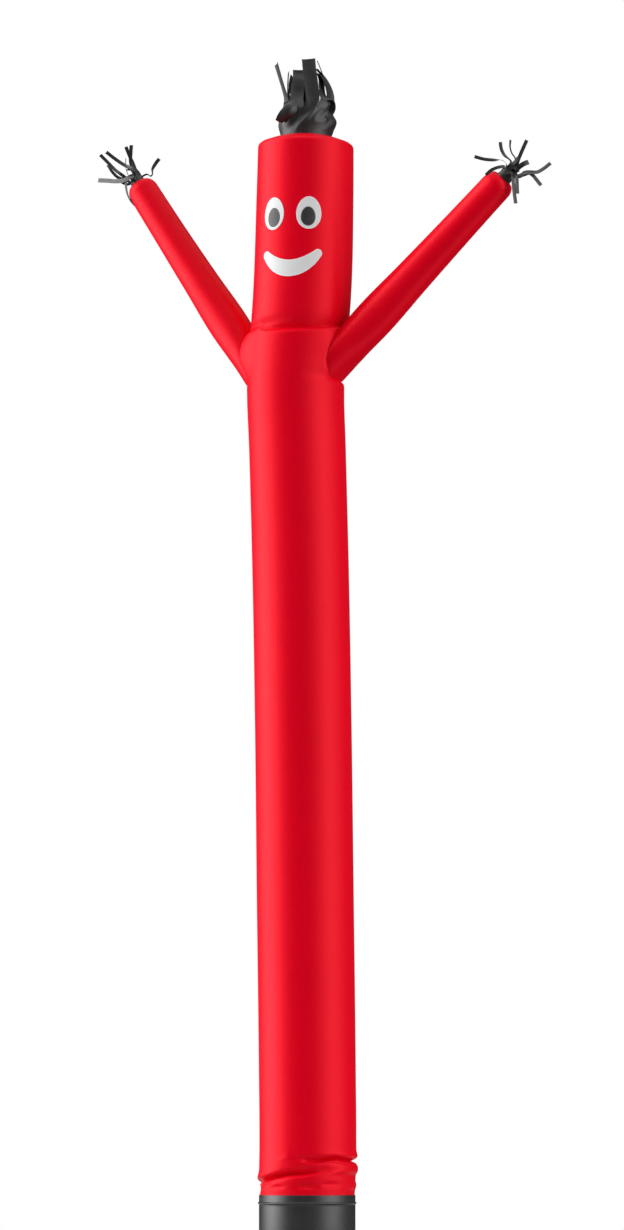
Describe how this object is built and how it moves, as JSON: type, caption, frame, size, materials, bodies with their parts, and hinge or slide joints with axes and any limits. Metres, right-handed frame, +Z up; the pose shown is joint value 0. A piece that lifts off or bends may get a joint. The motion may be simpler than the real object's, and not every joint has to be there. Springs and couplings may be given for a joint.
{
  "type": "inflatable air dancer with base collar",
  "caption": "Tall inflated cloth tube figure with raised arms, a smiling face, streamer hair and hands, on a short stiff base collar that takes a blower's outlet.",
  "frame": {"origin": "middle of the whole figure's footprint, on the surface that it stands on", "axes": "+Z up; the face looks along -Y; the arms reach out along X"},
  "size_m": [2.3571, 0.4755, 5.7649],
  "materials": {
    "red_cloth": "satin coated nylon",
    "black_cloth": "satin coated nylon",
    "white_patch": "matt appliqué cloth",
    "dark_patch": "matt appliqué cloth",
    "collar_black": "satin"
  },
  "bodies": {
    "root": {"body_tube": "red_cloth", "head_cap": "red_cloth", "arm_left": "red_cloth", "arm_right": "red_cloth", "hair_fringe": "black_cloth", "hand_fringe_left": "black_cloth", "hand_fringe_right": "black_cloth", "eye_white_left": "white_patch", "eye_white_right": "white_patch", "pupil_left": "dark_patch", "pupil_right": "dark_patch", "mouth": "white_patch", "base_collar": "collar_black"}
  },
  "joints": []
}
